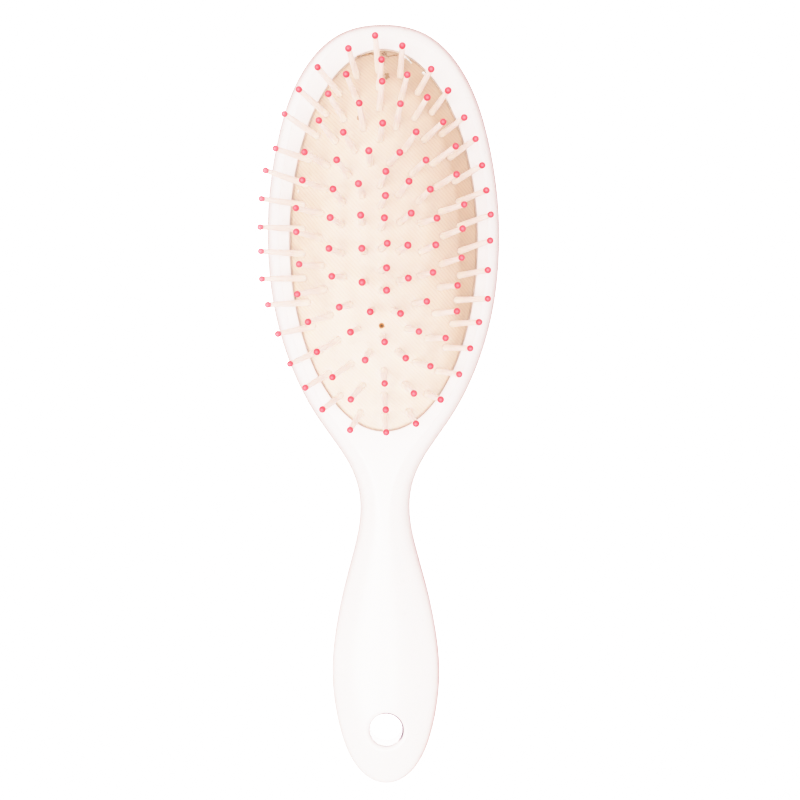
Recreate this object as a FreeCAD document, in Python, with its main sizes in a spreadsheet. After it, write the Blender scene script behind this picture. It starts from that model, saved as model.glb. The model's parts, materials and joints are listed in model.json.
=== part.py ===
import FreeCAD, Part
import os
import math

# Oval styling brush, lying on its back with the pins up.
# +Z is up, the head is at +Y and the hanging hole at -Y. The origin is at the
# middle of the footprint, on the surface the brush lies on. Lengths are in mm.

V = FreeCAD.Vector
doc = FreeCAD.newDocument("oval_styling_brush")

# ---------------------------------------------------------------- dimensions
sheet = doc.addObject("Spreadsheet::Sheet", "params")
CELLS = [
    ("part_z", 8.5, "height of the joint between the two shells"),
    ("top_z", 14.5, "height of the rim land and the handle ridge"),
    ("wall", 2.2, "side wall thickness"),
    ("skin", 1.8, "thickness of the front and back faces"),
    ("open_cx", 0.1, "cushion opening centre, X"),
    ("open_cy", 49.2, "cushion opening centre, Y"),
    ("open_ax", 28.14, "cushion opening half width"),
    ("open_ay", 57.30, "cushion opening half length"),
    ("lip_round", 0.45, "rounding of the opening's edge"),
    ("seat_z", 11.1, "top of the cushion seat"),
    ("seat_ax", 28.9, "cushion seat, outer half width"),
    ("seat_ay", 58.0, "cushion seat, outer half length"),
    ("seat_wall", 2.2, "cushion seat wall thickness"),
    ("pad_ax", 28.0, "cushion dome half width at the lip"),
    ("pad_ay", 57.12, "cushion dome half length at the lip"),
    ("pad_rise", 9.5, "height of the dome above the lip's underside"),
    ("pad_thick", 1.6, "cushion sheet thickness"),
    ("flange_out", 2.0, "how far the cushion flange reaches under the lip"),
    ("field_turn", 0.6, "turn of the pin field on the cushion, degrees"),
    ("field_cx", -0.59, "pin field centre, X"),
    ("field_cy", 48.8, "pin field centre, Y"),
    ("pin_len", 17.3, "cushion surface to ball centre"),
    ("pin_root_d", 2.05, "pin diameter at the cushion"),
    ("pin_end_d", 1.52, "pin diameter under the ball"),
    ("pin_seat", 2.15, "depth of the pin head's shoulder below the surface"),
    ("pin_head_d", 3.0, "pin head diameter"),
    ("pin_head_t", 0.8, "pin head thickness"),
    ("spigot_d", 0.80, "diameter of the pin's end inside the ball"),
    ("ball_d", 1.98, "ball tip diameter"),
    ("hole_clear", 0.05, "radial clearance of a pin in the cushion"),
    ("hang_y", -98.1, "hanging hole, Y"),
    ("hang_d", 9.7, "hanging hole diameter"),
    ("hang_boss_d", 14.1, "boss around the hanging hole"),
    ("hang_round", 1.3, "rounding of the hanging hole's mouths"),
    ("seam_round", 0.3, "rounding of both shells at the joint"),
    ("glue_h", 0.6, "height of the adhesive bead in the opening"),
    ("rim_round", 3.8, "width of the rim's round-over, edge to land"),
]
for i, (alias, value, note) in enumerate(CELLS):
    n = str(i + 1)
    sheet.set("A" + n, alias)
    sheet.set("B" + n, str(value))
    sheet.set("C" + n, note)
    sheet.setAlias("B" + n, alias)
doc.recompute()


def P(name):
    return float(sheet.get(name))


def E(obj, prop, text):
    obj.setExpression(prop, text)


# ------------------------------------------------------------------- outline
# Half of the outline seen from the front: half width and Y of each station,
# from the top of the head to the end of the handle.
STATIONS = [
    (0, 115), (7.057, 114.295), (12.907, 112.228), (17.997, 108.666), (22.639, 103.359),
    (26.622, 96.565), (29.696, 88.762), (32.056, 79.82), (33.811, 70.321), (34.866, 60.831),
    (35.197, 51.267), (34.852, 41.617), (33.806, 32.277), (31.965, 23.211), (29.297, 14.39),
    (25.829, 5.902), (21.63, -1.93), (16.253, -9.834), (11.343, -17.231), (8.624, -23.561),
    (7.558, -30.023), (8.045, -37.239), (10.081, -46.023), (12.712, -55.918),
    (14.729, -65.523), (16.01, -74.785), (16.259, -83.387), (15.36, -91.984),
    (13.455, -100.42), (10.781, -107.098), (7.463, -111.626), (3.813, -114.17), (0, -115),
]
RIGHT = [(x, y) for x, y in STATIONS]
LEFT = [(-x, y) for x, y in reversed(STATIONS[1:-1])]
BASE = RIGHT + LEFT
NPT = len(BASE)

# One set of spline parameters for every section, so that sections match.
PARAM = [0.0]
for i in range(NPT):
    a, b = BASE[i], BASE[(i + 1) % NPT]
    PARAM.append(PARAM[-1] + math.hypot(b[0] - a[0], b[1] - a[1]))
PARAM = [v / PARAM[-1] for v in PARAM]


def closed_spline(points):
    c = Part.BSplineCurve()
    c.interpolate(Points=[V(x, y, 0) for x, y in points], PeriodicFlag=True,
                  Parameters=PARAM)
    return c


def inward(points):
    # unit normals that point into the outline
    c = closed_spline(points)
    out = []
    for i in range(NPT):
        t = c.tangent(PARAM[i])[0]
        out.append((t.y, -t.x))
    return out


def inset(points, d):
    nn = inward(points)
    return [(p[0] + n[0] * d, p[1] + n[1] * d) for p, n in zip(points, nn)]


def smooth(v):
    v = min(1.0, max(0.0, v))
    return v * v * (3 - 2 * v)


Y_WIDE = -83.387       # widest station of the handle


def handle_part(p, k):
    # the handle narrows towards its ridge line, and rounds off towards its end
    x, y = p
    if y >= Y_WIDE:
        return (x * k, y)
    return (x * k, Y_WIDE + (y - Y_WIDE) * (1.0 - (1.0 - k) * 0.85))


CREASE = 74.0          # the rim's round-over stops short of level, at a faint crease


def front_section(base, phi, depth, k_min):
    c = math.cos(math.radians(phi))
    end = math.radians(CREASE)
    e = depth * (1.0 - math.cos(math.asin(math.sin(math.radians(phi)) * math.sin(end)))) \
        / (1.0 - math.cos(end))
    k = 1.0 - (1.0 - k_min) * (1.0 - c)
    nn = inward(base)
    out = []
    for (x, y), n in zip(base, nn):
        b = smooth((-6.0 - y) / 34.0)
        hx, hy = x + n[0] * e, y + n[1] * e
        gx, gy = handle_part((x, y), k)
        out.append((hx * (1 - b) + gx * b, hy * (1 - b) + gy * b))
    return out


def back_section(base, phi, k_head, k_min):
    c = math.cos(math.radians(phi))
    kh = 1.0 - (1.0 - k_head) * (1.0 - c)
    k = 1.0 - (1.0 - k_min) * (1.0 - c)
    out = []
    cy = P("open_cy")
    for x, y in base:
        b = smooth((-6.0 - y) / 34.0)
        hx, hy = x * kh, cy + (y - cy) * kh
        gx, gy = handle_part((x, y), k)
        out.append((hx * (1 - b) + gx * b, hy * (1 - b) + gy * b))
    return out


PHIS = [0, 14, 28, 42, 55, 67, 79, 90]


def plane_of(body, role):
    for f in body.Origin.OriginFeatures:
        if f.Role == role:
            return f


def new_body(label):
    b = doc.addObject("PartDesign::Body", label)
    b.Label = label
    return b


def level_sketch(body, name, points, z_expr):
    sk = body.newObject("Sketcher::SketchObject", name)
    sk.AttachmentSupport = [(plane_of(body, "XY_Plane"), "")]
    sk.MapMode = "FlatFace"
    sk.addGeometry(closed_spline(points), False)
    E(sk, "AttachmentOffset.Base.z", z_expr)
    return sk


def flat_sketch(body, name, z_expr):
    sk = body.newObject("Sketcher::SketchObject", name)
    sk.AttachmentSupport = [(plane_of(body, "XY_Plane"), "")]
    sk.MapMode = "FlatFace"
    E(sk, "AttachmentOffset.Base.z", z_expr)
    return sk


def ellipse_in(sk, ax, ay, cx, cy):
    # an ellipse with its long axis along Y
    i = sk.addGeometry(Part.Ellipse(V(cx, cy + ay, 0), V(cx + ax, cy, 0), V(cx, cy, 0)), False)
    return i


def circle_in(sk, cx, cy, dia, cy_expr, dia_expr):
    import Sketcher
    i = sk.addGeometry(Part.Circle(V(cx, cy, 0), V(0, 0, 1), dia / 2.0), False)
    c = sk.addConstraint(Sketcher.Constraint("Diameter", i, dia))
    E(sk, "Constraints[%d]" % c, dia_expr)
    c = sk.addConstraint(Sketcher.Constraint("DistanceX", -1, 1, i, 3, cx))
    c = sk.addConstraint(Sketcher.Constraint("DistanceY", -1, 1, i, 3, cy))
    E(sk, "Constraints[%d]" % c, cy_expr)
    return i


def loft(body, kind, name, sketches):
    f = body.newObject("PartDesign::" + kind, name)
    f.Profile = sketches[0]
    f.Sections = sketches[1:]
    f.Ruled = False
    f.Closed = False
    doc.recompute()
    return f


def check_volume(what, before, after, more):
    ok = after > before + 1e-3 if more else after < before - 1e-3
    if not ok:
        raise RuntimeError("%s changed nothing: %.3f -> %.3f" % (what, before, after))


# --------------------------------------------------------------- front shell
# Upper half of the frame and the handle: a round-over rising to the flat rim
# land around the cushion, and to the crowned ridge of the handle.
front = new_body("front_shell")
outer = [level_sketch(front, "front_out_%02d" % i, front_section(BASE, ph, P("rim_round"), 0.10),
                      "params.part_z + (params.top_z - params.part_z) * %.9f"
                      % math.sin(math.radians(ph)))
         for i, ph in enumerate(PHIS)]
loft(front, "AdditiveLoft", "front_outer", outer)
v0 = front.Shape.Volume
CAVITY = inset(BASE, P("wall"))
inner = [level_sketch(front, "front_in_%02d" % i, front_section(CAVITY, ph, 2.8, 0.25),
                      "params.part_z + (params.top_z - params.part_z - params.skin) * %.9f"
                      % math.sin(math.radians(ph)))
         for i, ph in enumerate(PHIS)]
loft(front, "SubtractiveLoft", "front_cavity", inner)
v1 = front.Shape.Volume
check_volume("front cavity", v0, v1, False)

# boss around the hanging hole, from the joint up to the face
sk = flat_sketch(front, "front_boss_sketch", "params.part_z")
circle_in(sk, 0, P("hang_y"), P("hang_boss_d"), "params.hang_y", "params.hang_boss_d")
pad = front.newObject("PartDesign::Pad", "front_boss")
pad.Profile = sk
E(pad, "Length", "params.top_z - params.part_z - params.skin + 0.4")
doc.recompute()
v2 = front.Shape.Volume
check_volume("front boss", v1, v2, True)

# the oval opening over the cushion
sk = flat_sketch(front, "opening_sketch", "params.top_z + 1")
ellipse_in(sk, P("open_ax"), P("open_ay"), P("open_cx"), P("open_cy"))
cut = front.newObject("PartDesign::Pocket", "opening")
cut.Profile = sk
cut.Length = 5.0
doc.recompute()
v3 = front.Shape.Volume
check_volume("opening", v2, v3, False)

sk = flat_sketch(front, "front_hole_sketch", "params.top_z + 1")
circle_in(sk, 0, P("hang_y"), P("hang_d"), "params.hang_y", "params.hang_d")
cut = front.newObject("PartDesign::Pocket", "front_hole")
cut.Profile = sk
cut.Length = 12.0
doc.recompute()
v4 = front.Shape.Volume
check_volume("front hanging hole", v3, v4, False)


def edges_where(shape, test):
    return ["Edge%d" % (i + 1) for i, e in enumerate(shape.Edges) if test(e)]


def is_opening_top(e):
    bb = e.BoundBox
    return (abs(bb.ZMin - P("top_z")) < 1e-3 and abs(bb.ZMax - P("top_z")) < 1e-3
            and abs(bb.XLength - 2 * P("open_ax")) < 0.05)


def on_hole_wall(e):
    pts = e.discretize(9)
    return all(abs(math.hypot(p.x, p.y - P("hang_y")) - P("hang_d") / 2) < 0.01 for p in pts)


def is_hole_mouth_up(e):
    bb = e.BoundBox
    return (on_hole_wall(e) and bb.ZMin > P("part_z") + 2.0
            and max(bb.XLength, bb.YLength) > 0.2)


def is_seam(e):
    bb = e.BoundBox
    return (abs(bb.ZMin - P("part_z")) < 1e-3 and abs(bb.ZMax - P("part_z")) < 1e-3
            and bb.YLength > 229.0)


def round_edges(body, name, test, size_alias):
    before = body.Shape.Volume
    names = edges_where(body.Tip.Shape, test)
    print(name, "edges", names)
    if not names:
        raise RuntimeError("no edge for " + name)
    f = body.newObject("PartDesign::Fillet", name)
    f.Base = (body.Tip if body.Tip != f else f.BaseFeature, names)
    E(f, "Radius", "params." + size_alias)
    doc.recompute()
    check_volume(name, before, body.Shape.Volume, False)
    return f


round_edges(front, "opening_round", is_opening_top, "lip_round")
round_edges(front, "front_hole_round", is_hole_mouth_up, "hang_round")
round_edges(front, "front_seam_round", is_seam, "seam_round")

# ---------------------------------------------------------------- back shell
# Lower half: a shallow dome under the head that flattens where it rests, and
# the rounded back of the handle.
back = new_body("back_half")
outer = [level_sketch(back, "back_out_%02d" % i, back_section(BASE, ph, 0.42, 0.12),
                      "params.part_z * (1 - %.9f)" % math.sin(math.radians(ph)))
         for i, ph in enumerate(PHIS)]
loft(back, "AdditiveLoft", "back_outer", outer)
v2 = back.Shape.Volume
sk = flat_sketch(back, "back_hole_sketch", "params.part_z + 1")
circle_in(sk, 0, P("hang_y"), P("hang_d"), "params.hang_y", "params.hang_d")
cut = back.newObject("PartDesign::Pocket", "back_hole")
cut.Profile = sk
cut.Length = 12.0
doc.recompute()
v3 = back.Shape.Volume
check_volume("back hanging hole", v2, v3, False)


def is_hole_mouth_down(e):
    bb = e.BoundBox
    return (on_hole_wall(e) and bb.ZMax < P("part_z") - 2.0
            and max(bb.XLength, bb.YLength) > 0.2)


round_edges(back, "back_hole_round", is_hole_mouth_down, "hang_round")
round_edges(back, "back_seam_round", is_seam, "seam_round")

# The hollow inside the back shell. It leaves a boss round the hanging hole
# and the foot of the cushion seat standing on the floor.
hollow = new_body("back_hollow")
inner = [level_sketch(hollow, "back_in_%02d" % i, back_section(CAVITY, ph, 0.42, 0.22),
                      "params.part_z - (params.part_z - params.skin) * %.9f"
                      % math.sin(math.radians(ph)))
         for i, ph in enumerate(PHIS)]
loft(hollow, "AdditiveLoft", "back_hollow_loft", inner)

boss = new_body("back_boss")
sk = flat_sketch(boss, "back_boss_sketch", "-3")
circle_in(sk, 0, P("hang_y"), P("hang_boss_d"), "params.hang_y", "params.hang_boss_d")
pad = boss.newObject("PartDesign::Pad", "back_boss_pad")
pad.Profile = sk
E(pad, "Length", "params.part_z + 4")
doc.recompute()


def seat_ring(label, z_expr, length_expr):
    b = new_body(label)
    sk = flat_sketch(b, label + "_out_sketch", z_expr)
    ellipse_in(sk, P("seat_ax"), P("seat_ay"), P("open_cx"), P("open_cy"))
    pad = b.newObject("PartDesign::Pad", label + "_out")
    pad.Profile = sk
    pad.Refine = False
    E(pad, "Length", length_expr)
    doc.recompute()
    v = b.Shape.Volume
    sk = flat_sketch(b, label + "_in_sketch", "params.seat_z + 1")
    ellipse_in(sk, P("seat_ax") - P("seat_wall"), P("seat_ay") - P("seat_wall"),
               P("open_cx"), P("open_cy"))
    cut = b.newObject("PartDesign::Pocket", label + "_in")
    cut.Profile = sk
    cut.Length = 20.0
    cut.Refine = False
    doc.recompute()
    check_volume(label, v, b.Shape.Volume, False)
    return b


# The cushion seat: an oval wall that holds the cushion's flange up against
# the lip and closes the air chamber under it.
seat_low = seat_ring("seat_low", "-3", "params.part_z + 4")
seat_top = seat_ring("seat_top", "params.part_z - 1.5", "params.seat_z - params.part_z + 1.5")


def part_cut(name, base, tool):
    c = doc.addObject("Part::Cut", name)
    c.Base, c.Tool, c.Refine = base, tool, False
    doc.recompute()
    return c


hollow_1 = part_cut("hollow_less_boss", hollow, boss)
hollow_2 = part_cut("hollow_less_seat", hollow_1, seat_low)
back_cut = part_cut("back_hollowed", back, hollow_2)
check_volume("back hollow", back.Shape.Volume, back_cut.Shape.Volume, False)
back_shell = doc.addObject("Part::Fuse", "back_shell")
back_shell.Label = "back_shell"
back_shell.Base = back_cut
back_shell.Tool = seat_top
back_shell.Refine = False
doc.recompute()
check_volume("cushion seat", back_cut.Shape.Volume, back_shell.Shape.Volume, True)
print("back volumes: outer %.1f hollow %.1f -> %.1f -> %.1f, cut %.1f, shell %.1f"
      % (back.Shape.Volume, hollow.Shape.Volume, hollow_1.Shape.Volume,
         hollow_2.Shape.Volume, back_cut.Shape.Volume, back_shell.Shape.Volume))

# --------------------------------------------------------------- the cushion
# A domed rubber sheet with a flat flange all round. The dome is part of an
# ellipsoid, so that it is steeper towards its edge.
ZE = P("top_z") - P("skin")
RX = (P("pad_ax") ** 2 + P("pad_rise") ** 2) / (2 * P("pad_rise"))
RY = RX * P("pad_ay") / P("pad_ax")
ZC = ZE + P("pad_rise") - RX
OX, OY = P("open_cx"), P("open_cy")
RX_EXPR = "(params.pad_ax * params.pad_ax + params.pad_rise * params.pad_rise) / (2 * params.pad_rise)"
ZE_EXPR = "(params.top_z - params.skin)"


def ellipsoid(name, less):
    # its poles lie along Y, beyond the ends of the cushion, so that the dome is
    # one smooth patch
    e = doc.addObject("Part::Ellipsoid", name)
    e.Angle1, e.Angle2, e.Angle3 = -50, 50, 180
    E(e, "Radius1", "(%s) * params.pad_ay / params.pad_ax - %s" % (RX_EXPR, less))
    E(e, "Radius2", "%s - %s" % (RX_EXPR, less))
    E(e, "Radius3", "%s - %s" % (RX_EXPR, less))
    e.Placement = FreeCAD.Placement(V(0, 0, 0), FreeCAD.Rotation(V(1, 0, 0), 90))
    E(e, "Placement.Base.x", "params.open_cx")
    E(e, "Placement.Base.y", "params.open_cy")
    E(e, "Placement.Base.z", "%s + params.pad_rise - %s" % (ZE_EXPR, RX_EXPR))
    return e


dome_out = ellipsoid("dome_out", "0")
dome_in = ellipsoid("dome_in", "params.pad_thick")
above = doc.addObject("Part::Box", "above_seat")
above.Length, above.Width = 80, 140
E(above, "Height", "30")
E(above, "Placement.Base.x", "params.open_cx - 40")
E(above, "Placement.Base.y", "params.open_cy - 70")
E(above, "Placement.Base.z", "params.seat_z + 0.2")
dome_cap = doc.addObject("Part::Common", "dome_cap")
dome_cap.Base = dome_out
dome_cap.Tool = above
doc.recompute()

flange = new_body("cushion_flange")
sk = flat_sketch(flange, "flange_sketch", "params.seat_z")
ellipse_in(sk, P("pad_ax") + P("flange_out"), P("pad_ay") + P("flange_out"), OX, OY)
pad = flange.newObject("PartDesign::Pad", "flange_pad")
pad.Profile = sk
E(pad, "Length", "params.top_z - params.skin - params.seat_z")
doc.recompute()

pad_full = doc.addObject("Part::Fuse", "cushion_full")
pad_full.Base = dome_cap
pad_full.Tool = flange
doc.recompute()
pad_sheet = doc.addObject("Part::Cut", "cushion_sheet")
pad_sheet.Base = pad_full
pad_sheet.Tool = dome_in
doc.recompute()


def dome_z(x, y):
    q = 1.0 - ((x - OX) / RX) ** 2 - ((y - OY) / RY) ** 2
    return ZC + RX * math.sqrt(q)


# ------------------------------------------------------------------ the pins
# Four rows that follow the oval, and a centre row. Each entry is a pin: its
# foot on the cushion (X, Y about the field centre) and how far its ball leans
# from the foot (X, Y). Rows are split where the sides of the oval turn into
# its ends, because the cushion gives way by a different amount there.
PINS = {
    "row1_sides": [
        (20.8, 24.6, 7.2, 3.4), (22, 17.3, 7.8, 3), (23.1, 11.3, 7.8, 1.7), (23.3, 4, 8.8, 2),
        (23.4, -3.4, 8.4, 1.8), (23, -10.7, 8, 0.5), (22, -18, 8.9, -0.5),
        (20.6, -25.1, 7.6, -0.2), (-20.6, -25.1, -9.9, -2.8), (-22, -18, -11.4, -1.3),
        (-23, -10.7, -12.1, -1), (-23.4, -3.4, -11.8, -0.2), (-23.3, 4, -12, -0.5),
        (-23.1, 11.3, -11.7, 0.5), (-22, 17.3, -11.5, 2.8), (-20.8, 24.6, -9.6, 1.7),
    ],
    "row1_ends": [
        (0, 50.5, -0.8, 8.2), (6.4, 49.2, 0.7, 6.2), (11.5, 44.1, 3.9, 4.3),
        (15.6, 38.1, 4.6, 4), (18.4, 31.6, 6.4, 2.6), (18.4, -32.2, 7.1, -0.7),
        (16.1, -39.2, 6.1, -1.2), (12.8, -45.9, 3.9, -1.8), (7, -51, 2.4, -3.6),
        (0, -52.1, 0.7, -4.9), (-7, -51, -2.8, -5.2), (-12.8, -45.9, -5, -4.2),
        (-16.1, -39.2, -6.6, -4.5), (-18.4, -32.2, -8.7, -4.5), (-18.4, 31.6, -9.3, 4.8),
        (-15.6, 38.1, -7.7, 5.3), (-11.5, 44.1, -6.2, 5.6), (-6.4, 49.2, -2.2, 5.7),
    ],
    "row2_sides": [
        (15.6, 22.5, 6.5, 3.1), (16.5, 15.5, 5.7, 1.8), (17.8, 8.2, 6.5, 0.4),
        (18.3, 0.9, 5.4, 0.7), (17.8, -7.4, 5.5, 0.6), (17.1, -14.3, 4.9, -0.5),
        (15.5, -22.1, 6.2, -0.1), (-15.5, -22.1, -5.9, -2.6), (-17.1, -14.3, -7.3, -2.3),
        (-17.8, -7.4, -5.9, -0.6), (-18.3, 0.9, -6.1, 0.5), (-17.8, 8.2, -6.6, 0.1),
        (-16.5, 15.5, -5.9, 0.8), (-15.6, 22.5, -6.1, 2),
    ],
    "row2_ends": [
        (0, 45.5, 1, 5.7), (6.6, 42.3, 1.8, 4.2), (10.5, 36.3, 3.6, 3.5),
        (13.2, 29.7, 5.4, 2.9), (13.3, -29.4, 5, -0.5), (9.6, -36.5, 4.2, -1.5),
        (6.3, -43, 2.6, -2.8), (0, -46.1, 0.7, -4.3), (-6.3, -43, -3.1, -4.3),
        (-9.6, -36.5, -5, -4.3), (-13.3, -29.4, -5.7, -4), (-13.2, 29.7, -4.2, 3.9),
        (-10.5, 36.3, -4.1, 5.1), (-6.6, 42.3, -2.7, 4.7),
    ],
    "row3_sides": [
        (9.4, 19.4, 4, 1.9), (11.3, 11.2, 3.2, 1.6), (11.8, 4.7, 4.5, -0.2),
        (11.8, -3.8, 4, 0.6), (11.4, -10.9, 3.5, -0.2), (9.7, -19.2, 3.3, -0.2),
        (-9.7, -19.2, -2.5, -1.5), (-11.4, -10.9, -2.8, -0.9), (-11.8, -3.8, -3.1, 0),
        (-11.8, 4.7, -2.6, 0.4), (-11.3, 11.2, -2.2, 2.1), (-9.4, 19.4, -2.9, 2.3),
    ],
    "row3_ends": [
        (0, 39.3, 1.1, 5.3), (4.8, 33.4, 1.5, 4.4), (7.4, 26.7, 3.3, 2.8),
        (7.4, -26.5, 3.2, -1.5), (4.4, -33.3, 2.3, -2.3), (0, -38.9, 0.5, -3.9),
        (-4.4, -33.3, -0.6, -2.7), (-7.4, -26.5, -1.7, -1.4), (-7.4, 26.7, -2.9, 3),
        (-4.8, 33.4, -0.8, 4.8),
    ],
    "row4_sides": [
        (5.4, 13.1, 3, 2), (5.7, 5, 3.2, 0.9), (5.2, -3.6, 2.6, 0.3), (5.2, -12.5, 2.6, -0.2),
        (-5.2, -12.5, -0.3, -1.2), (-5.2, -3.6, -0.2, -0.4), (-5.7, 5, 0.1, 0.5),
        (-5.4, 13.1, -0.7, 1.5),
    ],
    "row4_ends": [
        (0, 29.9, 1.1, 2.2), (2.9, 22.7, 3, 0.8), (3.4, -21.1, 2, -1.7), (0, -28.8, 0.7, -2.1),
        (-3.4, -21.1, 0.1, -1.1), (-2.9, 22.7, -0.1, 1.4),
    ],
    "centre_row": [
        (0, 15.9, 1.8, 2.1), (0, 9.9, 1.6, 1.1), (0, 3.3, 1.2, 1.3), (0, -2.8, 1.9, 0.1),
        (0, -9.3, 1.6, -0.4), (0, -15.2, 1.5, -0.9),
    ],
}
GROUPS = list(PINS)

# One pin, along +Z from its foot on the cushion's surface: a flat head under
# the sheet, a tapering shank, and a thin spigot that the ball sits on.
BALL_R = P("ball_d") / 2.0
NECK_R = P("pin_end_d") / 2.0
SEAT_DROP = math.sqrt(BALL_R ** 2 - NECK_R ** 2)     # ball centre to its flat
import Sketcher


def revolved(label, points, arcs=()):
    # a body turned about +Z from a closed outline in the XZ plane
    body = new_body(label)
    sk = body.newObject("Sketcher::SketchObject", label + "_profile")
    sk.AttachmentSupport = [(plane_of(body, "XZ_Plane"), "")]
    sk.MapMode = "FlatFace"
    n = len(points)
    for i in range(n):
        a, b = points[i], points[(i + 1) % n]
        if i in arcs:
            sk.addGeometry(arcs[i], False)
        else:
            sk.addGeometry(Part.LineSegment(V(a[0], a[1], 0), V(b[0], b[1], 0)), False)
    f = body.newObject("PartDesign::Revolution", label + "_turned")
    f.Profile = sk
    f.ReferenceAxis = (sk, ["V_Axis"])
    f.Angle = 360.0
    doc.recompute()
    return body, sk


HEAD_R = P("pin_head_d") / 2.0
ROOT_R = P("pin_root_d") / 2.0
SP_R = P("spigot_d") / 2.0
Z_HEAD = -P("pin_seat")
Z_BALL = P("pin_len")
Z_NECK = Z_BALL - SEAT_DROP
Z_SPIG = Z_BALL + 0.15
pin_pts = [
    (0, Z_HEAD - P("pin_head_t")), (HEAD_R - 0.2, Z_HEAD - P("pin_head_t")),
    (HEAD_R, Z_HEAD - P("pin_head_t") + 0.2), (HEAD_R, Z_HEAD), (ROOT_R, Z_HEAD),
    (ROOT_R, 0.3), (NECK_R, Z_NECK), (SP_R, Z_NECK), (SP_R, Z_SPIG), (0, Z_SPIG),
]
pin_master, pin_sk = revolved("pin_master", pin_pts)

# The ball: a drop of resin moulded round the spigot, flat where it meets the
# shank's shoulder.
a0 = math.asin(-SEAT_DROP / BALL_R)
ball_arc = Part.ArcOfCircle(Part.Circle(V(0, Z_BALL, 0), V(0, 0, 1), BALL_R), a0, math.pi / 2)
ball_pts = [(SP_R, Z_NECK), (NECK_R, Z_NECK), (0, Z_BALL + BALL_R), (0, Z_SPIG), (SP_R, Z_SPIG)]
ball_master, ball_sk = revolved("ball_master", ball_pts, {1: ball_arc})

# The hole in the cushion for one pin. The head hangs clear below the sheet,
# because a pin that leans more than the sheet would bite into it.
CL = P("hole_clear")
clear_pts = [(0, -4.0), (ROOT_R + CL, -4.0), (ROOT_R + CL, 4.0), (0, 4.0)]
clear_master, clear_sk = revolved("pin_clearance", clear_pts)
doc.recompute()

turn = math.radians(P("field_turn"))
CT, ST = math.cos(turn), math.sin(turn)


def pin_placement(row):
    x, y, lx, ly = row
    bx = P("field_cx") + CT * x - ST * y
    by = P("field_cy") + ST * x + CT * y
    bz = dome_z(bx, by)
    up = math.sqrt(P("pin_len") ** 2 - lx * lx - ly * ly)
    return FreeCAD.Placement(V(bx, by, bz), FreeCAD.Rotation(V(0, 0, 1), V(lx, ly, up)))


def group_of(master, rows):
    out = []
    for r in rows:
        s = master.Shape.copy()
        s.Placement = pin_placement(r).multiply(master.Shape.Placement)
        out.append(s)
    return Part.makeCompound(out)


nodes = [front, back_shell]
tools = []
count = 0
for g in GROUPS:
    f = doc.addObject("Part::Feature", "pins_" + g)
    f.Label = "pins_" + g
    f.Shape = group_of(pin_master, PINS[g])
    f.Placement = FreeCAD.Placement()
    b = doc.addObject("Part::Feature", "tips_" + g)
    b.Label = "tips_" + g
    b.Shape = group_of(ball_master, PINS[g])
    b.Placement = FreeCAD.Placement()
    nodes += [f, b]
    tools += group_of(clear_master, PINS[g]).Solids
    count += len(PINS[g])
    hs = [pin_placement(r).Base.z - ZE for r in PINS[g]]
    print("%-11s %3d pins, foot height above the lip %.2f to %.2f mm, mean %.2f, share %.4f"
          % (g, len(hs), min(hs), max(hs), sum(hs) / len(hs), sum(hs) / len(hs) / P("pad_rise")))
print("pins", count)

clear = doc.addObject("Part::Feature", "pin_clearances")
clear.Shape = Part.makeCompound(tools)
clear.Placement = FreeCAD.Placement()
vent = doc.addObject("Part::Cylinder", "vent_tool")
vent.Radius = 0.65
vent.Height = 12
vent.Placement = FreeCAD.Placement(V(-0.6, 23.3, P("seat_z") + 4), FreeCAD.Rotation())
doc.recompute()
pad_vent = doc.addObject("Part::Cut", "cushion_vented")
pad_vent.Base = pad_sheet
pad_vent.Tool = vent
doc.recompute()
cushion = doc.addObject("Part::Feature", "cushion_pad")
cushion.Label = "cushion_pad"
cushion.Shape = pad_vent.Shape.cut(tools)
cushion.Placement = FreeCAD.Placement()
nodes.append(cushion)

# ------------------------------------------------------------- adhesive bead
# The thin line of glue in the corner between the cushion and the opening. Its
# inner side follows the dome.
glue = new_body("cushion_adhesive")
sk = flat_sketch(glue, "glue_sketch", ZE_EXPR)
ellipse_in(sk, P("open_ax"), P("open_ay"), OX, OY)
pad = glue.newObject("PartDesign::Pad", "glue_pad")
pad.Profile = sk
E(pad, "Length", "params.glue_h")
doc.recompute()
v0 = glue.Shape.Volume
GAP = 0.03
level = []
for n in range(5):
    z = ZE - 0.05 + (P("glue_h") + 0.1) * n / 4.0
    q = math.sqrt(1.0 - ((z - ZC) / RX) ** 2)
    sk = flat_sketch(glue, "glue_inner_%d" % n,
                     "%s - 0.05 + (params.glue_h + 0.1) * %.4f" % (ZE_EXPR, n / 4.0))
    ellipse_in(sk, RX * q + GAP, RY * q + GAP, OX, OY)
    level.append(sk)
loft(glue, "SubtractiveLoft", "glue_inner", level)
check_volume("glue bead", v0, glue.Shape.Volume, False)
nodes.append(glue)

# -------------------------------------------------------------------- output
doc.recompute()
bad = []
for o in doc.Objects:
    if "Invalid" in o.State or "Error" in o.State:
        bad.append(o.Name)
for o in nodes:
    s = o.Shape
    if s.isNull() or not s.isValid() or not s.Solids:
        bad.append(o.Label + " shape")
if bad:
    raise RuntimeError("failed objects: " + ", ".join(bad))

os.makedirs("parts", exist_ok=True)
for old in os.listdir("parts"):
    if old.endswith(".step"):
        os.remove(os.path.join("parts", old))
for o in nodes:
    s = o.Shape
    s.exportStep("parts/%s.step" % o.Label)
    bb = s.BoundBox
    print("%-18s solids %3d  faces %4d  vol %10.2f  x %.2f..%.2f y %.2f..%.2f z %.2f..%.2f"
          % (o.Label, len(s.Solids), len(s.Faces), s.Volume, bb.XMin, bb.XMax,
             bb.YMin, bb.YMax, bb.ZMin, bb.ZMax))
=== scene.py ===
import json
import math
import random

import bmesh
import bpy
import numpy as np
from mathutils import Matrix, Vector, noise


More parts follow.
